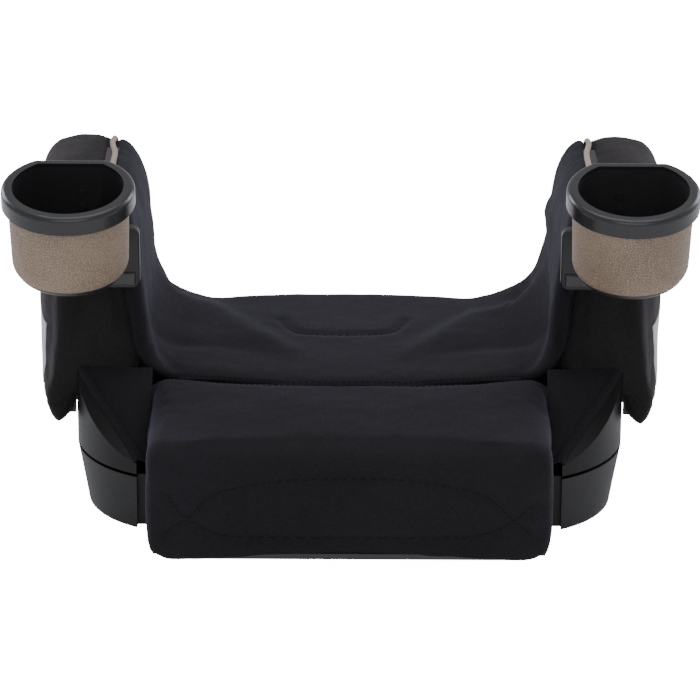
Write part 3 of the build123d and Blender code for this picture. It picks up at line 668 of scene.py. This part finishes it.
def groove(piece, trees, lines, direction, width, depth):
    """Sinks a soft channel into a piece along curves cast on to its surface."""
    line_points = []
    for points in lines:
        for number in range(GROOVE_STEPS + 1):
            hit = drop(trees, through(points, number / GROOVE_STEPS), direction)
            if hit:
                line_points.append(hit)
    lookup = KDTree(len(line_points))
    for number, (place, _) in enumerate(line_points):
        lookup.insert(place, number)
    lookup.balance()
    for vertex in piece.data.vertices:
        _, number, distance = lookup.find(vertex.co)
        if distance < width:
            vertex.co -= line_points[number][1] * depth * (1.0 - smooth_step(0.0, width, distance))


DOWN = Vector((0.0, 0.0, -1.0))
BACK = Vector((0.0, 1.0, 0.0))
ABOVE = 0.3                # lines are drawn well above the seat,
AHEAD = -0.4               # in front of it
BESIDE = 0.4               # or beside it, and cast on to the cloth from there
SMILE = [(-0.0545, 0.0960), (-0.0460, 0.0760), (-0.0330, 0.0680), (-0.0050, 0.0665),
         (0.0230, 0.0680), (0.0360, 0.0760), (0.0445, 0.0960)]
LENS_TOP = [(-0.1350, 0.0690), (-0.1210, 0.0500), (-0.1050, 0.0655), (-0.0880, 0.0735),
            (-0.0500, 0.0800), (0.0000, 0.0815), (0.0500, 0.0800), (0.0880, 0.0735),
            (0.1050, 0.0655), (0.1210, 0.0500), (0.1370, 0.0350)]
LENS_LOW = [(-0.1370, 0.0360), (-0.1210, 0.0475), (-0.1020, 0.0380), (-0.0800, 0.0345),
            (0.0000, 0.0335), (0.0800, 0.0345), (0.1020, 0.0380), (0.1210, 0.0475),
            (0.1370, 0.0620)]
SEAM_ROW = 0.0062          # a row of stitches runs this far from the seam on each side
smile = [(x, y, ABOVE) for x, y in SMILE]
lens = [[(x, AHEAD, z) for x, z in line] for line in (LENS_TOP, LENS_LOW)]
groove(seat_panel, surface_of(seat_panel), [smile], DOWN, 0.008, 0.0018)
groove(nose_panel, surface_of(nose_panel), lens, BACK, 0.009, 0.0024)
seat_surface = surface_of(seat_panel, nose_panel)
seam = [(x, mix(SEAM_CENTRE, SEAM_SIDE, (x / NOSE_HALF) ** 2)) for x in (-0.145, -0.08, 0.0, 0.08, 0.145)]
thread_shape = bmesh.new()
stitch_row(thread_shape, surface_of(seat_panel), smile, DOWN)
for line in lens:
    stitch_row(thread_shape, surface_of(nose_panel), line, BACK)
for offset in (-SEAM_ROW, SEAM_ROW):
    stitch_row(thread_shape, seat_surface, [(x, y + offset, ABOVE) for x, y in seam], DOWN)
seat_stitches = new_piece("seat_stitching", thread_shape, thread)
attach(seat_stitches, "base")


# ---- armrests --------------------------------------------------------------------------------
# Each is a hollow moulded frame under a foam sleeve and a brown-black woven cover. The cover
# is pulled down over the base's side, where it ends in a sewn hem band.
arm_weave = cloth(
    "arm_weave", (0.0085, 0.0074, 0.0078), (0.0135, 0.0118, 0.0125), 0.10, (0.95, 0.80, 0.85), 1300.0,
)
ARM_OUTLINE_FRONT = [(0.166, 0.100), (0.166, 0.150), (0.170, 0.200), (0.173, 0.230),
                     (0.182, 0.2395), (0.200, 0.2405), (0.219, 0.2360), (0.2285, 0.218),
                     (0.2275, 0.180), (0.2285, 0.140), (0.2325, 0.100), (0.2350, 0.076),
                     (0.2265, 0.0570), (0.2170, 0.0630), (0.2110, 0.085), (0.190, 0.098)]
ARM_OUTLINE_REAR = [(0.164, 0.100), (0.166, 0.150), (0.171, 0.195), (0.179, 0.219),
                    (0.193, 0.2325), (0.214, 0.2350), (0.2345, 0.2300), (0.2455, 0.2130),
                    (0.2460, 0.180), (0.2440, 0.140), (0.2415, 0.100), (0.2395, 0.076),
                    (0.2310, 0.0590), (0.2200, 0.0630), (0.2140, 0.085), (0.190, 0.098)]
ARM_FACE_FRONT = -0.0285
ARM_FACE_REAR = 0.161
ARM_EDGE = 0.012
ARM_EDGE_SHARE = 0.2       # share of the way from front to rear that each rounded end takes
ARM_CLOSE_SHARE = 0.08     # and the part of it that closes the end
ARM_MIDDLE = Vector((0.200, 0.160))
ARM_LIP = Vector((0.2245, 0.110))      # middle of the part that hangs down outside
ARM_FOOT = Vector((0.190, 0.110))      # middle of the part that stands on the shell
LIP_SIDE = 0.212
ARM_HEM = 0.0625
HEM_BAND = 0.014
HEM_STITCH = 0.0035


def closed_through(points, share):
    """Point at a share of a smooth closed curve through control points."""
    total = len(points)
    index = int(share * total)
    near = [Vector(points[(index + step) % total]) for step in (-1, 0, 1, 2)]
    return on_curve(*near, share * total - index)


def armrest_point(side, around, along):
    """Point on the armrest: around its section, and along from its front face to its rear one."""
    from_end = min(along, 1.0 - along)
    edge = max(1.0 - from_end / ARM_EDGE_SHARE, 0.0)
    depth = min(max((along - ARM_EDGE_SHARE) / (1.0 - 2.0 * ARM_EDGE_SHARE), 0.0), 1.0)
    angle = min(edge / 0.6, 1.0) * math.pi / 2
    y = mix(ARM_FACE_FRONT + ARM_EDGE, ARM_FACE_REAR - ARM_EDGE, depth)
    y += ARM_EDGE * math.sin(angle) * (-1.0 if along < 0.5 else 1.0)
    widening = 1.0 - (1.0 - depth) ** 3.5
    front = closed_through(ARM_OUTLINE_FRONT, around)
    flat = mix(front, closed_through(ARM_OUTLINE_REAR, around), widening)
    middle = ARM_MIDDLE
    if flat.y < 0.105:
        middle = ARM_LIP if flat.x > LIP_SIDE else ARM_FOOT
    out = flat - middle
    flat = middle + out * max(1.0 - ARM_EDGE * (1.0 - math.cos(angle)) / max(out.length, ARM_EDGE), 0.0)
    if from_end < ARM_CLOSE_SHARE:
        core = Vector((ARM_MIDDLE.x, max(min(flat.y, 0.225), 0.112)))
        if flat.x > LIP_SIDE and flat.y < 0.100:
            core = Vector((0.2260, flat.y))
        flat = mix(flat, core, 1.0 - from_end / ARM_CLOSE_SHARE)
    return Vector((side * flat.x, y, flat.y))


armrests = {}
for name, side in SIDES.items():
    arm_shape = bmesh.new()
    bmesh.ops.create_grid(arm_shape, x_segments=128, y_segments=60, size=0.5)
    for corner in arm_shape.verts:
        corner.co = armrest_point(side, corner.co.x + 0.5, corner.co.y + 0.5)
    bmesh.ops.remove_doubles(arm_shape, verts=arm_shape.verts, dist=0.00001)
    bmesh.ops.recalc_face_normals(arm_shape, faces=arm_shape.faces)
    armrest = new_piece(name + "_armrest_pad", arm_shape, arm_weave)
    puff(armrest, 2.5)
    outward = Vector((-side, 0.0, 0.0))
    band = [(side * BESIDE, y, ARM_HEM + HEM_BAND) for y in (-0.020, 0.020, 0.070, 0.120, 0.150)]
    groove(armrest, surface_of(armrest), [band], outward, 0.0035, 0.0012)
    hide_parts(name + "_armrest_cover", name + "_armrest_foam")
    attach(armrest, "base")
    armrests[name] = armrest
    arm_thread = bmesh.new()
    arm_surface = surface_of(armrest)
    stitch_row(arm_thread, arm_surface, [(x, y, z + HEM_STITCH) for x, y, z in band], outward)
    low_front = [(side * x, AHEAD, z) for x, z in ((0.2330, 0.0765), (0.2250, 0.0765), (0.2190, 0.0830))]
    stitch_row(arm_thread, arm_surface, low_front, BACK)
    beside_piping = [(side * x, y, ABOVE) for x, y in ((0.1830, -0.010), (0.1930, 0.045), (0.1945, 0.145))]
    stitch_row(arm_thread, arm_surface, beside_piping, DOWN)
    arm_stitches = new_piece(name + "_armrest_stitching", arm_thread, thread)
    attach(arm_stitches, "base")


# ---- piping ----------------------------------------------------------------------------------
# A beige woven cord sewn into the seam between the navy panel and each armrest cover. It runs
# along the armrest's inner top edge and turns down at both ends.
piping_cloth = cloth(
    "piping_cloth", (0.33, 0.27, 0.225), (0.42, 0.35, 0.295), 0.05, (1.0, 0.95, 0.9), 1500.0, 0.8, 0.0003,
)
PIPING_RADIUS = 0.0023
PIPING_PROUD = 0.8         # its middle stands this share of its radius above the seam
PIPING_STEPS = 80
PIPING_TOP = 0.1885        # distance of its long straight run from the seat's middle


def tube(shape, places, radius, sides=14):
    """A closed round tube along a list of places."""
    rings = []
    for number, place in enumerate(places):
        ahead = places[min(number + 1, len(places) - 1)] - places[max(number - 1, 0)]
        stand = Matrix.Translation(place) @ ahead.to_track_quat("Z", "Y").to_matrix().to_4x4()
        ring = bmesh.ops.create_circle(shape, segments=sides, radius=radius, matrix=stand)
        rings.append(ring["verts"])
    for first, second in zip(rings, rings[1:]):
        for number in range(sides):
            shape.faces.new((first[number], first[(number + 1) % sides],
                             second[(number + 1) % sides], second[number]))
    shape.faces.new(reversed(rings[0]))
    shape.faces.new(rings[-1])
    bmesh.ops.recalc_face_normals(shape, faces=shape.faces)


for name, side in SIDES.items():
    piping_path = [(side * x, y, z) for x, y, z in (
        (0.1660, -0.0305, 0.2150), (0.1690, -0.0295, 0.2290), (0.1735, -0.0225, 0.2390),
        (0.1770, -0.0060, 0.2412), (0.1850, 0.0350, 0.2396), (PIPING_TOP, 0.0900, 0.2370),
        (PIPING_TOP, 0.1440, 0.2342), (PIPING_TOP, 0.1590, 0.2260), (PIPING_TOP, 0.1640, 0.2120),
    )]
    beside = surface_of(seat_panel, armrests[name])
    places = []
    for step in range(PIPING_STEPS + 1):
        nearest = [tree.find_nearest(through(piping_path, step / PIPING_STEPS)) for tree in beside]
        place, normal = min(nearest, key=lambda hit: hit[3])[:2]
        places.append(place + normal * PIPING_RADIUS * PIPING_PROUD)
    for _ in range(4):
        eased = [(before + here + after) / 3 for before, here, after in zip(places, places[1:], places[2:])]
        places = [places[0]] + eased + [places[-1]]
    piping_shape = bmesh.new()
    tube(piping_shape, places, PIPING_RADIUS)
    piping = new_piece(name + "_piping_cord", piping_shape, piping_cloth)
    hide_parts(name + "_piping")
    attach(piping, "base")


# ---- side labels -----------------------------------------------------------------------------
# A blank white woven label is sewn flat on the outside of each armrest, low down and a little
# forward of the armrest's middle. Its edges are cut straight and aren't hemmed.
label_cloth = cloth(
    "label_cloth", (0.52, 0.53, 0.56), (0.60, 0.61, 0.64), 0.1, (1.0, 1.0, 1.0), 1800.0, 0.75, 0.0002,
)
LABEL_LENGTH = 0.070
LABEL_DROP = 0.050
LABEL_PLACE = (0.033, 0.109)
LABEL_THICK = 0.0007
for name, side in SIDES.items():
    label_shape = bmesh.new()
    bmesh.ops.create_grid(label_shape, x_segments=28, y_segments=20, size=0.5)
    arm_surface = surface_of(armrests[name])
    for corner in label_shape.verts:
        y = LABEL_PLACE[0] + corner.co.x * LABEL_LENGTH
        z = LABEL_PLACE[1] + corner.co.y * LABEL_DROP
        place, _ = drop(arm_surface, Vector((side * BESIDE, y, z)), Vector((-side, 0.0, 0.0)))
        corner.co = place + Vector((side * LABEL_THICK, 0.0, 0.0))
    if side < 0.0:
        bmesh.ops.reverse_faces(label_shape, faces=label_shape.faces)
    label = new_piece(name + "_blank_label", label_shape, label_cloth)
    solid_sheet(label, LABEL_THICK)
    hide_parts(name + "_side_label")
    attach(label, "base")


# ---- corner skirts ---------------------------------------------------------------------------
# A triangle of the navy knit stretched over the sloping shoulder in front of each armrest,
# with a folded and stitched hem along its outer edge.
SKIRT_TOP_Y = -0.0270
SKIRT_TIP_Y = -0.0900
SKIRT_TOP_Z = 0.1085
SKIRT_SLOPE = 0.806
SKIRT_INNER = 0.1518
SKIRT_CLOTH = 0.0026
SKIRT_HEM = 0.0075
SKIRT_BULGE = 0.0030
SKIRT_EDGE = [(0.2100, 0.0), (0.1960, 0.30), (0.1790, 0.62), (0.1640, 1.0)]
for name, side in SIDES.items():
    skirt_shape = bmesh.new()
    bmesh.ops.create_grid(skirt_shape, x_segments=48, y_segments=48, size=0.5)
    for corner in skirt_shape.verts:
        across, forward = corner.co.x + 0.5, 0.5 - corner.co.y
        y = mix(SKIRT_TOP_Y, SKIRT_TIP_Y, forward)
        outer = through(SKIRT_EDGE, forward).x
        x = mix(SKIRT_INNER, outer, across)
        z = SKIRT_TOP_Z + (y - SKIRT_TOP_Y) * SKIRT_SLOPE
        bulge = math.sin(math.pi * min(across * 1.4, 1.0)) * math.sin(math.pi * min(forward * 1.2, 1.0))
        z += SKIRT_BULGE * bulge
        hem = (outer - x) / 0.008
        z += 0.0010 * (1.0 - smooth_step(0.8, 1.2, hem)) - 0.0030 * (1.0 - smooth_step(0.0, 0.35, hem))
        corner.co = Vector((side * x, y, z))
    if side < 0.0:
        bmesh.ops.reverse_faces(skirt_shape, faces=skirt_shape.faces)
    skirt = new_piece(name + "_skirt_cloth", skirt_shape, navy_knit)
    solid_sheet(skirt, SKIRT_CLOTH)
    soft_edge = skirt.modifiers.new("soft_edge", "SUBSURF")
    soft_edge.levels = soft_edge.render_levels = 1
    settle(skirt)
    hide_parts(name + "_corner_skirt")
    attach(skirt, "base")
    skirt_thread = bmesh.new()
    skirt_row = []
    for share in (0.06, 0.3, 0.6, 0.94):
        x = through(SKIRT_EDGE, share).x - SKIRT_HEM
        skirt_row.append((side * x, mix(SKIRT_TOP_Y, SKIRT_TIP_Y, share), ABOVE))
    stitch_row(skirt_thread, surface_of(skirt), skirt_row, DOWN)
    skirt_stitches = new_piece(name + "_skirt_stitching", skirt_thread, thread)
    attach(skirt_stitches, "base")


# ---- cup holders -----------------------------------------------------------------------------
# Each has a black moulded liner with a satin rim, wrapped in taupe leatherette. A black hanger
# on its flat back slides down into the bracket on the armrest's front.
cup_black = plastic("cup_black", (0.018, 0.018, 0.0195), (0.024, 0.024, 0.026), 0.42, 1400.0, 0.2)
rim_satin = plastic("rim_satin", (0.016, 0.016, 0.0175), (0.020, 0.020, 0.022), 0.26, 1800.0, 0.12)
repaint(cup_black, "left_cup_liner", "right_cup_liner", "left_cup_screws", "right_cup_screws")
repaint(rim_satin, "left_cup_rim", "right_cup_rim")
bracket_black = plastic("bracket_black", (0.010, 0.010, 0.011), (0.014, 0.014, 0.0155), 0.42)
repaint(bracket_black, "left_cup_bracket", "right_cup_bracket", "left_cup_hanger", "right_cup_hanger")
tab_grey = plastic("tab_grey", (0.035, 0.035, 0.037), (0.045, 0.045, 0.048), 0.4)
repaint(tab_grey, "left_release_tab", "right_release_tab")

leatherette, leather_tree, leather_shader = new_material("leatherette", Specular_IOR_Level=0.45)
leather_place = add_node(leather_tree, "ShaderNodeTexCoord").outputs["Object"]
leather_cells = add_node(leather_tree, "ShaderNodeTexVoronoi", {"Vector": leather_place, "Scale": 520.0},
                         feature="DISTANCE_TO_EDGE").outputs["Distance"]
leather_patch = noise(leather_tree, leather_place, 22.0, 5.0)
leather_creases = math_node(leather_tree, "MINIMUM", leather_cells, 0.2)
leather_tone = math_node(leather_tree, "ADD", math_node(leather_tree, "MULTIPLY", leather_creases, 1.6),
                         math_node(leather_tree, "MULTIPLY", leather_patch, 0.6))
leather_colour = colour_range(
    leather_tree, leather_tone, (0.205, 0.147, 0.104), (0.345, 0.258, 0.190), 0.30, 0.66,
)
leather_tree.links.new(leather_colour, leather_shader.inputs["Base Color"])
leather_range = {"Value": leather_patch, "To Min": 0.42, "To Max": 0.62}
leather_dull = add_node(leather_tree, "ShaderNodeMapRange", leather_range)
leather_tree.links.new(leather_dull.outputs["Result"], leather_shader.inputs["Roughness"])
bump(leather_tree, leather_shader, leather_creases, 0.0022, 0.8)
repaint(leatherette, "left_cup_wrap", "right_cup_wrap")
